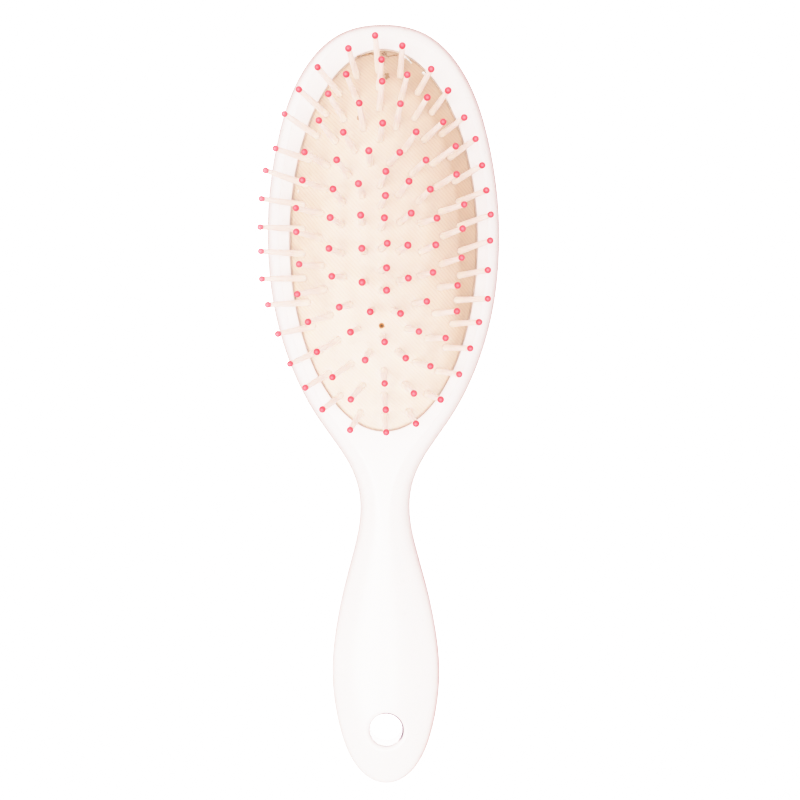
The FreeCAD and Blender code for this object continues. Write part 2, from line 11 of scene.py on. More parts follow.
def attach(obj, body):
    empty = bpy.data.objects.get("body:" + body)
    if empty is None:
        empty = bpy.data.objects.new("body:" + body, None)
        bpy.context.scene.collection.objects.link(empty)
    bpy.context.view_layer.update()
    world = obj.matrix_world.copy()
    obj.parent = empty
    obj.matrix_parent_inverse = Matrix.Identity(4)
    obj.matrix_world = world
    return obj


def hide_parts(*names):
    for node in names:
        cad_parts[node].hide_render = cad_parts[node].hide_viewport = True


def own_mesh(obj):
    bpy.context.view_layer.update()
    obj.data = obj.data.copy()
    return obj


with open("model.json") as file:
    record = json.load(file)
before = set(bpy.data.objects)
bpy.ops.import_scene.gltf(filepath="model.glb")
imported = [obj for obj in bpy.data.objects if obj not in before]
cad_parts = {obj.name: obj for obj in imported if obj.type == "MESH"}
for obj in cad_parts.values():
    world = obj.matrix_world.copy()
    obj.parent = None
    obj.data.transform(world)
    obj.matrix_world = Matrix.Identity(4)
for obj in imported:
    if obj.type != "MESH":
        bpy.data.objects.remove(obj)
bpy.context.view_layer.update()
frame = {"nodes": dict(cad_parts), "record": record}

# Looks of an oval cushion brush that lies on its back, pins up, seen from
# straight above. Everything is in metres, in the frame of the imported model.

NODES = frame["nodes"]
BODY_OF = {n: b for b, ns in frame["record"]["behaviour"]["bodies"].items() for n in ns}
rng = random.Random(7)

# the cushion: its middle, half axes, rise, thickness and sphere-like dome
OX, OY = 0.0001, 0.0492
AX, AY = 0.0280, 0.05712
RISE, THICK = 0.0095, 0.0016
RX = (AX * AX + RISE * RISE) / (2 * RISE)
RY = RX * AY / AX
ZE = 0.0127
ZC = ZE + RISE - RX

# ------------------------------------------------------------------- camera
cam_data = bpy.data.cameras.new("photo_camera")
cam_data.sensor_fit = "HORIZONTAL"
cam_data.sensor_width = 36.0
cam_data.lens = 82.31
cam_data.clip_start = 0.01
cam_data.clip_end = 50.0
cam = bpy.data.objects.new("photo_camera", cam_data)
bpy.context.scene.collection.objects.link(cam)
cam.location = (0.004740, 0.001187, 0.5635)
cam.rotation_euler = (0.0, 0.0, math.radians(-0.324))
bpy.context.scene.camera = cam

# ------------------------------------------------- tone of a high-key picture
view = bpy.context.scene.view_settings
view.view_transform = "Standard"
view.look = "None"
view.exposure = 0.0
view.gamma = 1.0
view.use_curve_mapping = True
cm = view.curve_mapping
cm.use_clip = False
cm.clip_min_x, cm.clip_min_y, cm.clip_max_x, cm.clip_max_y = 0.0, 0.0, 4.0, 1.0
SHOULDER = [0.25, 0.5, 0.65, 0.8, 0.95, 1.1, 1.3, 1.6, 2.0, 2.6, 4.0]
curve = cm.curves[3]
curve.points[0].location = (0.0, 0.0)
curve.points[1].location = (4.0, 1.0)
for x in SHOULDER[:-1]:
    curve.points.new(x, x / (1.0 + x ** 5) ** 0.2)
cm.update()


# ---------------------------------------------------------------- node helper
class Mat:
    def __init__(self, name):
        self.m = bpy.data.materials.new(name)
        self.m.use_nodes = True
        self.t = self.m.node_tree
        self.t.nodes.clear()
        self.out = self.t.nodes.new("ShaderNodeOutputMaterial")
        self.b = self.t.nodes.new("ShaderNodeBsdfPrincipled")
        self.t.links.new(self.b.outputs[0], self.out.inputs["Surface"])

    def node(self, kind, **props):
        n = self.t.nodes.new(kind)
        for k, v in props.items():
            setattr(n, k, v)
        return n

    def link(self, a, b):
        self.t.links.new(a, b)

    def coord(self, scale=1.0, out="Object"):
        tc = self.node("ShaderNodeTexCoord")
        mp = self.node("ShaderNodeMapping")
        mp.inputs["Scale"].default_value = (scale, scale, scale)
        self.link(tc.outputs[out], mp.inputs["Vector"])
        return mp.outputs["Vector"]

    def noise(self, vec, scale, detail=3.0, rough=0.55, distortion=0.0):
        n = self.node("ShaderNodeTexNoise")
        n.inputs["Scale"].default_value = scale
        n.inputs["Detail"].default_value = detail
        n.inputs["Roughness"].default_value = rough
        n.inputs["Distortion"].default_value = distortion
        self.link(vec, n.inputs["Vector"])
        return n.outputs["Fac"]

    def math(self, op, a, b=None, c=None, clamp=False):
        n = self.node("ShaderNodeMath", operation=op, use_clamp=clamp)
        for i, v in enumerate((a, b, c)):
            if v is None:
                continue
            if isinstance(v, (int, float)):
                n.inputs[i].default_value = v
            else:
                self.link(v, n.inputs[i])
        return n.outputs[0]

    def ramp(self, fac, stops, interp="EASE"):
        n = self.node("ShaderNodeValToRGB")
        n.color_ramp.interpolation = interp
        e = n.color_ramp.elements
        while len(e) < len(stops):
            e.new(0.5)
        for i, (p, col) in enumerate(stops):
            e[i].position = p
            e[i].color = (*col, 1.0) if not isinstance(col, float) else (col, col, col, 1.0)
        self.link(fac, n.inputs["Fac"])
        return n.outputs["Color"]

    def mix(self, fac, a, b, blend="MIX"):
        n = self.node("ShaderNodeMix", data_type="RGBA", blend_type=blend)
        n.clamp_factor = True
        for sock, v in ((n.inputs[0], fac), (n.inputs[6], a), (n.inputs[7], b)):
            if isinstance(v, tuple):
                sock.default_value = (*v, 1.0)
            elif isinstance(v, (int, float)):
                sock.default_value = v
            else:
                self.link(v, sock)
        return n.outputs[2]

    def bump(self, height, strength, distance, normal=None):
        n = self.node("ShaderNodeBump")
        n.inputs["Strength"].default_value = strength
        n.inputs["Distance"].default_value = distance
        self.link(height, n.inputs["Height"])
        if normal is not None:
            self.link(normal, n.inputs["Normal"])
        return n.outputs["Normal"]

    def set(self, **values):
        for k, v in values.items():
            s = self.b.inputs[k.replace("_", " ")]
            if isinstance(v, tuple) and len(v) == 3 and s.type == "RGBA":
                s.default_value = (*v, 1.0)
            elif isinstance(v, (int, float, tuple)):
                s.default_value = v
            else:
                self.link(v, s)


def shell_material():
    m = Mat("shell_plastic")
    co = m.coord()
    broad = m.noise(co, 28.0, 3.0, 0.5)
    fine = m.noise(co, 420.0, 4.0, 0.6)
    tone = m.ramp(broad, [(0.30, (0.862, 0.796, 0.782)), (0.52, (0.878, 0.814, 0.800)),
                          (0.75, (0.888, 0.828, 0.810))])
    # painted shade: steep flanks, read from the surface normal, are painted darker and pinker
    geo = m.node("ShaderNodeNewGeometry")
    sep = m.node("ShaderNodeSeparateXYZ")
    m.link(geo.outputs["Normal"], sep.inputs[0])
    steep = m.math("ABSOLUTE", sep.outputs["Z"])
    painted_shade_weight = m.ramp(steep, [(0.0, 1.0), (0.32, 0.85), (0.52, 0.35), (0.70, 0.0)])
    # painted shade: the steep flanks are painted darker, less so on the flanks of the neck and the hanging hole's
    # wall, which stay whiter
    pos = m.node("ShaderNodeSeparateXYZ")
    m.link(co, pos.inputs[0])
    hy = m.math("ADD", pos.outputs["Y"], 0.0981)
    hr = m.math("SQRT", m.math("ADD", m.math("MULTIPLY", pos.outputs["X"], pos.outputs["X"]), m.math("MULTIPLY", hy, hy)))
    off_hole = m.ramp(m.math("MULTIPLY", hr, 100.0), [(0.60, 0.0), (0.70, 1.0)])
    length = m.math("MULTIPLY_ADD", pos.outputs["Y"], 5.0, 0.5)
    neck = m.ramp(length, [(0.22, 0.0), (0.33, 1.0), (0.38, 1.0), (0.48, 0.0)])
    painted_shade_weight = m.math("MULTIPLY", painted_shade_weight, m.math("MULTIPLY_ADD", off_hole, 0.75, 0.25))
    painted_shade_weight = m.math("MULTIPLY", painted_shade_weight, m.math("MULTIPLY_ADD", neck, -0.50, 1.0))
    # painted shade: the flanks that face the top and the right, away from the light, are painted pinker than the
    # others
    faces_away_from_light = m.math("ADD", m.math("MULTIPLY", sep.outputs["X"], 0.45), m.math("MULTIPLY", sep.outputs["Y"], 0.75))
    faces_away_from_light = m.ramp(m.math("MULTIPLY_ADD", faces_away_from_light, 0.5, 0.5), [(0.48, 0.0), (0.78, 1.0)])
    painted_flank_shade = m.mix(faces_away_from_light, (0.770, 0.625, 0.615), (0.700, 0.520, 0.515))
    col = m.mix(painted_shade_weight, tone, painted_flank_shade)
    # painted shade: browner still along the far end's edge and at the right of the handle's end, on flanks that
    # face away from the light
    w = m.ramp(length, [(0.05, 0.68), (0.21, 0.05)])
    far = m.math("ADD", m.math("MULTIPLY", m.math("MAXIMUM", sep.outputs["Y"], 0.0), 0.9),
                 m.math("MULTIPLY", sep.outputs["X"], w))
    far = m.ramp(far, [(0.10, 0.0), (0.50, 1.0)])
    slope = m.ramp(steep, [(0.0, 1.0), (0.50, 1.0), (0.64, 0.5), (0.76, 0.0)], "LINEAR")
    far = m.math("MULTIPLY", m.math("MULTIPLY", far, slope), off_hole)
    col = m.mix(far, col, m.mix(1.0, col, (0.89, 0.78, 0.775), "MULTIPLY"))
    # painted shade: a thin lilac grey line in the hanging hole's mouth, upper right, where its rounded edge is in
    # shade
    ring = m.ramp(m.math("MULTIPLY", m.math("ABSOLUTE", m.math("SUBTRACT", hr, 0.00500)), 1000.0),
                  [(0.0, 1.0), (0.24, 0.9), (0.46, 0.0)])
    painted_shade_side = m.math("DIVIDE", m.math("ADD", m.math("MULTIPLY", pos.outputs["X"], 0.82), m.math("MULTIPLY", hy, 0.57)), hr)
    painted_shade_side = m.ramp(painted_shade_side, [(0.12, 0.0), (0.55, 1.0)])
    col = m.mix(m.math("MULTIPLY", ring, painted_shade_side), col, (0.300, 0.210, 0.262))
    # fine specks of dust in the plastic
    vor = m.node("ShaderNodeTexVoronoi", feature="F1")
    vor.inputs["Scale"].default_value = 260.0
    m.link(co, vor.inputs["Vector"])
    dot = m.math("LESS_THAN", vor.outputs["Distance"], 0.035)
    pick = m.math("GREATER_THAN", m.noise(co, 90.0, 2.0), 0.64)
    col = m.mix(m.math("MULTIPLY", m.math("MULTIPLY", dot, pick), 0.35), col, (0.55, 0.47, 0.43))
    m.set(Base_Color=col,
          Roughness=m.math("ADD", m.math("MULTIPLY", fine, 0.10), 0.24),
          Normal=m.bump(fine, 0.15, 0.00003, m.bump(broad, 0.15, 0.0006)))
    m.set(IOR=1.49, Specular_IOR_Level=0.5, Coat_Weight=0.55, Coat_Roughness=0.34,
          Subsurface_Weight=0.10, Subsurface_Radius=(0.0030, 0.0018, 0.0014),
          Subsurface_Scale=1.0)
    return m.m


def pin_material():
    m = Mat("pin_plastic")
    co = m.coord()
    slow = m.noise(co, 85.0, 2.0, 0.5)
    fine = m.noise(co, 1500.0, 3.0, 0.6)
    col = m.ramp(slow, [(0.3, (0.860, 0.748, 0.709)), (0.55, (0.872, 0.764, 0.727)),
                        (0.8, (0.882, 0.777, 0.743))])
    # painted light: the foot of each pin is painted as pale and cream as the cushion that it comes out of, lifting
    # the shade there
    sep = m.node("ShaderNodeSeparateXYZ")
    m.link(co, sep.inputs[0])
    dx = m.math("MULTIPLY_ADD", sep.outputs["X"], 1.0 / RX, -OX / RX)
    dy = m.math("MULTIPLY_ADD", sep.outputs["Y"], 1.0 / RY, -OY / RY)
    q = m.math("SUBTRACT", 1.0, m.math("ADD", m.math("MULTIPLY", dx, dx), m.math("MULTIPLY", dy, dy)))
    up = m.math("SUBTRACT", sep.outputs["Z"], m.math("MULTIPLY_ADD", m.math("SQRT", q), RX, ZC))
    painted_foot_light = m.ramp(m.math("MULTIPLY", up, 100.0), [(0.0, 1.0), (0.25, 0.80), (0.75, 0.0)])
    col = m.mix(m.math("MULTIPLY", painted_foot_light, 0.85), col, (0.962, 0.862, 0.800))
    m.set(Base_Color=col,
          Roughness=m.math("ADD", m.math("MULTIPLY", fine, 0.12), 0.42),
          Normal=m.bump(fine, 0.12, 0.00002))
    m.set(IOR=1.50, Transmission_Weight=0.0, Subsurface_Weight=0.60,
          Subsurface_Radius=(0.0013, 0.0012, 0.0011), Subsurface_Scale=1.0,
          Specular_IOR_Level=0.25)
    return m.m


def tip_material():
    m = Mat("tip_resin")
    co = m.coord()
    slow = m.noise(co, 60.0, 2.0, 0.5)
    fine = m.noise(co, 2200.0, 2.0, 0.5)
    deep = m.ramp(slow, [(0.3, (0.920, 0.036, 0.072)), (0.55, (0.935, 0.046, 0.086)),
                         (0.8, (0.945, 0.062, 0.106))])
    pale_tone_and_painted_light = m.node("ShaderNodeAttribute", attribute_name="pale_tone_and_painted_light")
    painted_highlight = m.node("ShaderNodeAttribute", attribute_name="painted_highlight")
    # painted light: balls toward the left are paler, washed out by the light; each also a little paler at random
    col = m.mix(pale_tone_and_painted_light.outputs["Fac"], deep, (0.985, 0.330, 0.400))
    # painted highlight on the side of each ball that faces the light
    col = m.mix(painted_highlight.outputs["Fac"], col, (0.985, 0.430, 0.500))
    m.set(Base_Color=col,
          Roughness=m.math("ADD", m.math("MULTIPLY", fine, 0.08), 0.34),
          Normal=m.bump(fine, 0.10, 0.00002))
    m.set(IOR=1.52, Specular_IOR_Level=0.6, Coat_Weight=0.5, Coat_Roughness=0.30,
          Subsurface_Weight=0.12, Subsurface_Radius=(0.0006, 0.0002, 0.0002), Subsurface_Scale=1.0)
    return m.m


def pad_material():
    m = Mat("cushion_rubber")
    tc = m.node("ShaderNodeTexCoord")
    ob = tc.outputs["Object"]
    cloth = m.node("ShaderNodeUVMap", uv_map="cloth").outputs["UV"]     # metres along the cloth
    sep = m.node("ShaderNodeSeparateXYZ")
    m.link(cloth, sep.inputs[0])
    wob = m.math("MULTIPLY", m.math("SUBTRACT", m.noise(ob, 160.0, 2.0), 0.5), 2.6)
    # ribs of the twill, from upper left to lower right
    a = math.radians(43.0)
    pitch = 0.00094
    across = m.math("ADD", m.math("MULTIPLY", sep.outputs["X"], math.cos(a) * 2 * math.pi / pitch),
                    m.math("MULTIPLY", sep.outputs["Y"], math.sin(a) * 2 * math.pi / pitch))
    rib = m.math("SINE", m.math("ADD", across, wob))
    along = m.math("ADD", m.math("MULTIPLY", sep.outputs["X"], -math.sin(a) * 2 * math.pi / 0.00062),
                   m.math("MULTIPLY", sep.outputs["Y"], math.cos(a) * 2 * math.pi / 0.00062))
    float_ = m.math("SINE", m.math("ADD", along, m.math("MULTIPLY", across, 0.5)))
    rib01 = m.math("MULTIPLY_ADD", rib, 0.5, 0.5)
    float01 = m.math("MULTIPLY_ADD", float_, 0.5, 0.5)
    weave = m.math("ADD", m.math("MULTIPLY", rib01, 0.78), m.math("MULTIPLY", float01, 0.22))
    # colour: cream in the middle, tan towards the stretched edge, painted darker still as shade at the right and
    # the far end, mottled
    edge = m.node("ShaderNodeAttribute", attribute_name="edge_tan_and_shade")
    mott = m.noise(ob, 95.0, 5.0, 0.62)
    mott2 = m.noise(ob, 22.0, 3.0, 0.5)
    e = m.math("ADD", edge.outputs["Fac"], m.math("MULTIPLY", m.math("SUBTRACT", mott2, 0.5), 0.5))
    base = m.ramp(e, [(0.0, (0.926, 0.796, 0.722)), (0.35, (0.901, 0.736, 0.641)),
                      (0.75, (0.774, 0.606, 0.505)), (1.0, (0.678, 0.500, 0.392))], "LINEAR")
    shade = m.ramp(mott, [(0.30, 0.90), (0.50, 0.975), (0.72, 1.0)])
    col = m.mix(1.0, base, shade, "MULTIPLY")
    groove = m.ramp(weave, [(0.0, (0.920, 0.888, 0.862)), (0.55, (0.988, 0.982, 0.977)), (1.0, (1.0, 1.0, 1.0))])
    amount = m.ramp(m.noise(ob, 45.0, 2.0), [(0.3, 0.45), (0.7, 1.0)])
    # the weave shows most where the cloth is brown, least on the cream top
    amount = m.math("MULTIPLY", amount, m.math("MULTIPLY_ADD", e, 0.90, 0.48, clamp=True))
    col = m.mix(amount, col, m.mix(1.0, col, groove, "MULTIPLY"))
    # painted light: the cloth is painted lighter right round each pin, lifting the shade at its foot
    feet = m.node("ShaderNodeAttribute", attribute_name="feet")
    col = m.mix(feet.outputs["Fac"], col, m.mix(1.0, col, (1.045, 1.065, 1.085), "MULTIPLY"))
    # small brown specks of glue and dirt
    vor = m.node("ShaderNodeTexVoronoi", feature="F1")
    vor.inputs["Scale"].default_value = 150.0
    vor.inputs["Randomness"].default_value = 1.0
    dist = m.mix(0.92, m.noise(ob, 900.0, 2.0), ob)
    m.link(dist, vor.inputs["Vector"])
    size = m.math("MULTIPLY_ADD", m.noise(ob, 240.0, 2.0), 0.10, -0.012)
    dot = m.math("LESS_THAN", vor.outputs["Distance"], size)
    pick = m.math("GREATER_THAN", m.noise(ob, 71.0, 1.0), 0.57)
    col = m.mix(m.math("MULTIPLY", m.math("MULTIPLY", dot, pick), 0.75), col, (0.38, 0.23, 0.15))
    smudge = m.node("ShaderNodeAttribute", attribute_name="smudge")
    sm = m.math("GREATER_THAN", m.math("MULTIPLY", smudge.outputs["Fac"], m.noise(ob, 1700.0, 4.0, 0.7)), 0.50)
    col = m.mix(m.math("MULTIPLY", sm, 0.72), col, (0.44, 0.24, 0.12))
    # painted shade in the corner beside the opening
    col = m.mix(m.node("ShaderNodeAttribute", attribute_name="edge").outputs["Fac"], col, (0.66, 0.43, 0.29))
    # painted shade: the vent's dark hole is painted as a brown ring round a smaller hole
    col = m.mix(m.node("ShaderNodeAttribute", attribute_name="vent_painted_shade").outputs["Fac"], col, (0.52, 0.245, 0.088))
    h = m.math("ADD", m.math("MULTIPLY", weave, 1.0), m.math("MULTIPLY", m.noise(ob, 3500.0, 3.0), 0.35))
    m.set(Base_Color=col,
          Roughness=m.math("MULTIPLY_ADD", mott, 0.15, 0.66),
          Normal=m.bump(h, 0.40, 0.00004, m.bump(mott, 0.25, 0.00020)))
    m.set(IOR=1.45, Specular_IOR_Level=0.35, Sheen_Weight=0.25, Sheen_Roughness=0.45,
          Sheen_Tint=(1.0, 0.93, 0.88), Subsurface_Weight=0.30,
          Subsurface_Radius=(0.0020, 0.0014, 0.0010), Subsurface_Scale=1.0)
    return m.m


def glue_material():
    m = Mat("dried_glue")
    co = m.coord()
    n = m.noise(co, 520.0, 4.0, 0.65)
    slow = m.noise(co, 60.0, 2.0)
    dark = m.ramp(n, [(0.30, (0.36, 0.185, 0.10)), (0.55, (0.56, 0.34, 0.20)), (0.75, (0.74, 0.52, 0.36))])
    thin = m.node("ShaderNodeAttribute", attribute_name="thin")
    col = m.mix(thin.outputs["Fac"], dark, m.mix(slow, (0.80, 0.66, 0.55), (0.88, 0.78, 0.70)))
    m.set(Base_Color=col,
          Roughness=m.math("MULTIPLY_ADD", n, 0.3, 0.30),
          Normal=m.bump(n, 0.5, 0.00012))
    m.set(IOR=1.48, Subsurface_Weight=0.1, Subsurface_Radius=(0.001, 0.0006, 0.0004))
    return m.m


def clear_glue_material():
    m = Mat("clear_glue")
    co = m.coord()
    n = m.noise(co, 700.0, 3.0, 0.6)
    col = m.ramp(n, [(0.3, (0.93, 0.88, 0.84)), (0.7, (0.97, 0.95, 0.93))])
    m.set(Base_Color=col,
          Roughness=m.math("MULTIPLY_ADD", n, 0.12, 0.10),
          Normal=m.bump(n, 0.3, 0.00006))
    m.set(IOR=1.47, Transmission_Weight=0.15, Coat_Weight=0.5, Coat_Roughness=0.05,
          Subsurface_Weight=0.3, Subsurface_Radius=(0.001, 0.0009, 0.0008))
    return m.m


SHELL = shell_material()
PIN = pin_material()
TIP = tip_material()
PAD = pad_material()
GLUE = glue_material()
CLEAR = clear_glue_material()

for name, ob in NODES.items():
    mat = None
    if name.endswith("_shell"):
        mat = SHELL
    elif name.startswith("pins_"):
        mat = PIN
    elif name.startswith("tips_"):
        mat = TIP
    if mat is not None:
        for s in ob.material_slots:
            s.material = mat

# ---------------------------------------------------- the cushion's own shape
VENT = (-0.0006, 0.0233)
VENT_R = 0.00022


def dome(x, y, less=0.0):
    a, b = RX - less, RY - less
    q = np.clip(1.0 - ((x - OX) / a) ** 2 - ((y - OY) / b) ** 2, 0.02, 1.0)
    return ZC + a * np.sqrt(q)


def shoulder(gap):
    # the stretched sheet stands up higher than the dome just inside the lip
    return 0.00115 * np.exp(-(np.abs(gap) / 0.165) ** 1.6)


def shell_islands(ob):
    # separate pieces of a node's mesh, as lists of points
    me = ob.data
    n = len(me.vertices)
    co = np.zeros(n * 3)
    me.vertices.foreach_get("co", co)
    co = co.reshape(-1, 3)
    key = {}
    rep = np.zeros(n, int)
    for i, p in enumerate(np.round(co, 6)):
        rep[i] = key.setdefault(tuple(p), i)
    parent = list(range(n))

    def find(i):
        while parent[i] != i:
            parent[i] = parent[parent[i]]
            i = parent[i]
        return i
    for e in me.edges:
        a, b = find(rep[e.vertices[0]]), find(rep[e.vertices[1]])
        if a != b:
            parent[b] = a
    groups = {}
    for i in range(n):
        groups.setdefault(find(rep[i]), []).append(i)
    return [co[g] for g in groups.values()]


def pin_feet():
    # where each pin crosses the cushion's face, read from the pins' meshes
    feet, tops = [], []
    for name, ob in NODES.items():
        if not name.startswith("pins_"):
            continue
        for pts in shell_islands(ob):
            lo, hi = pts[pts[:, 2].argmin()], pts[pts[:, 2].argmax()]
            top = pts[pts[:, 2] > hi[2] - 0.0006].mean(0)
            low = pts[np.linalg.norm(pts - top, axis=1) > np.linalg.norm(pts - top, axis=1).max() - 0.0004].mean(0)
            d = top - low
            t = np.linspace(0, 1, 200)
            line = low + t[:, None] * d
            q = np.sqrt(((line[:, 0] - OX) / AX) ** 2 + ((line[:, 1] - OY) / AY) ** 2)
            gap = line[:, 2] - dome(line[:, 0], line[:, 1]) - shoulder(1.0 - q)
            k = int(np.argmax(gap > 0))
            feet.append(line[k])
            tops.append(top)
    return np.array(feet), np.array(tops)


FEET, TOPS = pin_feet()
print("pin feet", len(FEET))


def ball_tips():
    # resin balls dipped on the pins: slightly drop shaped, some with a small nub
    count = 0
    for name, ob in NODES.items():
        if not name.startswith("tips_"):
            continue
        vs, fs, pale_tone_and_painted_light, painted_highlight = [], [], [], []
        for pts in shell_islands(ob):
            c = (pts.min(0) + pts.max(0)) / 2
            rad = np.linalg.norm(pts - c, axis=1).max()
            f = FEET[np.argmin(np.linalg.norm(TOPS - c, axis=1))]
            axis = Vector(c - f).normalized()
            rot = axis.to_track_quat("Z", "Y").to_matrix()
            one = random.Random(int(round(c[0] * 1e5)) * 7919 + int(round(c[1] * 1e5)))
            px, py = (c[0] - OX) / 0.035, (c[1] - OY) / 0.066
            far = math.hypot(px, py)
            size = rad * 0.90 * (1.0 + 0.085 * math.exp(-(px / 0.75) ** 2 - ((py - 0.25) / 0.75) ** 2) + one.uniform(-0.025, 0.025))
            nub = one.uniform(0.10, 0.26) if one.random() < 0.22 else 0.0
            lean = (one.uniform(-0.35, 0.35), one.uniform(-0.35, 0.35))
            tail = one.uniform(0.05, 0.16)
            # painted light: paler toward the left where the light washes the balls out, plus a little random
            # paleness
            p = min(0.6, 1.1 * max(0.0, -px - 0.62) + one.uniform(0.0, 0.10))
            # painted highlight: the side of each ball that faces the light, a little off its top, is paler
            top = (Vector((-0.16, -0.13, 1.0)) + 0.30 * axis + Vector((one.uniform(-0.12, 0.12), one.uniform(-0.12, 0.12), 0))).normalized()
            base = len(vs)
            b = bmesh.new()
            bmesh.ops.create_icosphere(b, subdivisions=3, radius=1.0)
            for w in b.verts:
                q = w.co.copy()
                k = 1.0 + 0.018 * noise.noise(q * 1.3 + Vector((c[0] * 900, c[1] * 900, 0)))
                if q.z < 0:
                    k += tail * (-q.z) ** 3
                d = (q - Vector((lean[0], lean[1], 1.0)).normalized()).length
                k += nub * math.exp(-(d / 0.42) ** 2)
                angle_from_highlight = (rot @ w.co.normalized()).angle(top)
                painted_highlight.append(0.44 * math.exp(-(angle_from_highlight / 0.52) ** 2))
                q = rot @ (q * k * size)
                vs.append((c[0] + q.x, c[1] + q.y, c[2] + q.z))
                pale_tone_and_painted_light.append(p)
            for g in b.faces:
                fs.append(tuple(base + w.index for w in g.verts))
            b.free()
            count += 1
        me = bpy.data.meshes.new(name + "_resin")
        me.from_pydata(vs, [], fs)
        me.polygons.foreach_set("use_smooth", np.ones(len(me.polygons), bool))
        at = me.attributes.new("pale_tone_and_painted_light", "FLOAT", "POINT")
        at.data.foreach_set("value", np.array(pale_tone_and_painted_light, np.float32))
        at = me.attributes.new("painted_highlight", "FLOAT", "POINT")
        at.data.foreach_set("value", np.array(painted_highlight, np.float32))
        me.materials.append(TIP)
        o = bpy.data.objects.new(name + "_resin", me)
        bpy.context.scene.collection.objects.link(o)
        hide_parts(name)
        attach(o, BODY_OF[name])
    print("ball tips", count)


ball_tips()

NU, NV = 236, 440
u = np.linspace(-1, 1, NU)
v = np.linspace(-1, 1, NV)
U, W = np.meshgrid(u, v, indexing="ij")
Pd = U * np.sqrt(1 - W * W / 2)
Qd = W * np.sqrt(1 - U * U / 2)
rho0 = np.sqrt(Pd ** 2 + Qd ** 2)
RMAX = 1.075
rho = rho0 * RMAX
safe = np.maximum(rho0, 1e-9)
cx, cy = Pd / safe, Qd / safe
over = np.clip(rho - 1.0, 0.0, None) / (RMAX - 1.0)
inx = AX * np.minimum(rho, 1.0) + over * 0.0020
iny = AY * np.minimum(rho, 1.0) + over * 0.0020
X = OX + cx * inx
Y = OY + cy * iny
r = rho


def field(scale, seed, octaves=3):
    # smooth repeatable noise over the grid
    out = np.zeros_like(X)
    for i in range(X.shape[0]):
        for j in range(0, X.shape[1]):
            out[i, j] = noise.fractal(Vector((X[i, j] * scale + seed, Y[i, j] * scale - seed, seed * 1.7)), 0.6, 2.0, octaves)
    return out


soft_wave = field(55.0, 3.1, 2)
fine_wave = field(330.0, 8.4, 2)
inside = np.clip((1.0 - r) / 0.12, 0, 1)
Z = dome(X, Y)
gap = np.clip(1.0 - r, 0, 1)
bulge = shoulder(gap)
Z = Z + bulge + 0.00005 * soft_wave * inside + 0.000018 * fine_wave * inside
for f in FEET:
    d = np.sqrt((X - f[0]) ** 2 + (Y - f[1]) ** 2)
    near = d < 0.006
    Z[near] += 0.00005 * np.exp(-(d[near] / 0.0016) ** 2)
dv = np.sqrt((X - VENT[0]) ** 2 + (Y - VENT[1]) ** 2)
Z += 0.00008 * np.exp(-((dv - 0.00095) / 0.0003) ** 2) - 0.00055 * np.clip(1.0 - (dv / 0.00075) ** 2, 0, 1)
flat = np.clip((r - 1.0005) / 0.0045, 0, 1)
flat = flat * flat * (3 - 2 * flat)
Z = Z * (1 - flat) + (ZE - 0.00004) * flat
Zin = np.maximum(dome(X, Y, THICK) + 0.00004 * soft_wave * inside, 0.01114)
Zin = np.where(r > 0.985, 0.01114, Zin)

n_layer = NU * NV
verts = np.concatenate([np.stack([X, Y, Z], -1).reshape(-1, 3), np.stack([X, Y, Zin], -1).reshape(-1, 3)])


def vid(i, j, k=0):
    return k * n_layer + i * NV + j


faces = []
hole = []
for i in range(NU - 1):
    for j in range(NV - 1):
        mx = (X[i, j] + X[i + 1, j + 1]) / 2
        my = (Y[i, j] + Y[i + 1, j + 1]) / 2
        if math.hypot(mx - VENT[0], my - VENT[1]) < VENT_R:
            hole.append((i, j))
            continue
        faces.append((vid(i, j), vid(i + 1, j), vid(i + 1, j + 1), vid(i, j + 1)))
        faces.append((vid(i, j, 1), vid(i, j + 1, 1), vid(i + 1, j + 1, 1), vid(i + 1, j, 1)))
ring = ([(i, 0) for i in range(NU)] + [(NU - 1, j) for j in range(1, NV)]
        + [(i, NV - 1) for i in range(NU - 2, -1, -1)] + [(0, j) for j in range(NV - 2, 0, -1)])
for a in range(len(ring)):
    p, q = ring[a], ring[(a + 1) % len(ring)]
    faces.append((vid(*q), vid(*p), vid(*p, 1), vid(*q, 1)))
# the vent's wall: boundary edges of the removed cells, joined through the sheet
hset = set(hole)
loop_v = set()
for (i, j) in hole:
    for (a, b, other) in (((i, j), (i + 1, j), (i, j - 1)), ((i + 1, j), (i + 1, j + 1), (i + 1, j)),
                          ((i + 1, j + 1), (i, j + 1), (i, j + 1)), ((i, j + 1), (i, j), (i - 1, j))):
        if other not in hset:
            faces.append((vid(*a), vid(*b), vid(*b, 1), vid(*a, 1)))
            loop_v.update((a, b))
for (i, j) in loop_v:
    dx, dy = X[i, j] - VENT[0], Y[i, j] - VENT[1]
    d = math.hypot(dx, dy)
    for k in (0, 1):
        verts[vid(i, j, k), 0] = VENT[0] + dx / d * VENT_R
        verts[vid(i, j, k), 1] = VENT[1] + dy / d * VENT_R

me = bpy.data.meshes.new("cushion")
me.from_pydata([tuple(p) for p in verts], [], faces)
bm = bmesh.new()
bm.from_mesh(me)
lone = [w for w in bm.verts if not w.link_faces]
bmesh.ops.delete(bm, geom=lone, context="VERTS")
bmesh.ops.recalc_face_normals(bm, faces=bm.faces)
bm.to_mesh(me)
bm.free()
co = np.zeros(len(me.vertices) * 3)
me.vertices.foreach_get("co", co)
co = co.reshape(-1, 3)
rr = np.sqrt(((co[:, 0] - OX) / AX) ** 2 + ((co[:, 1] - OY) / AY) ** 2)
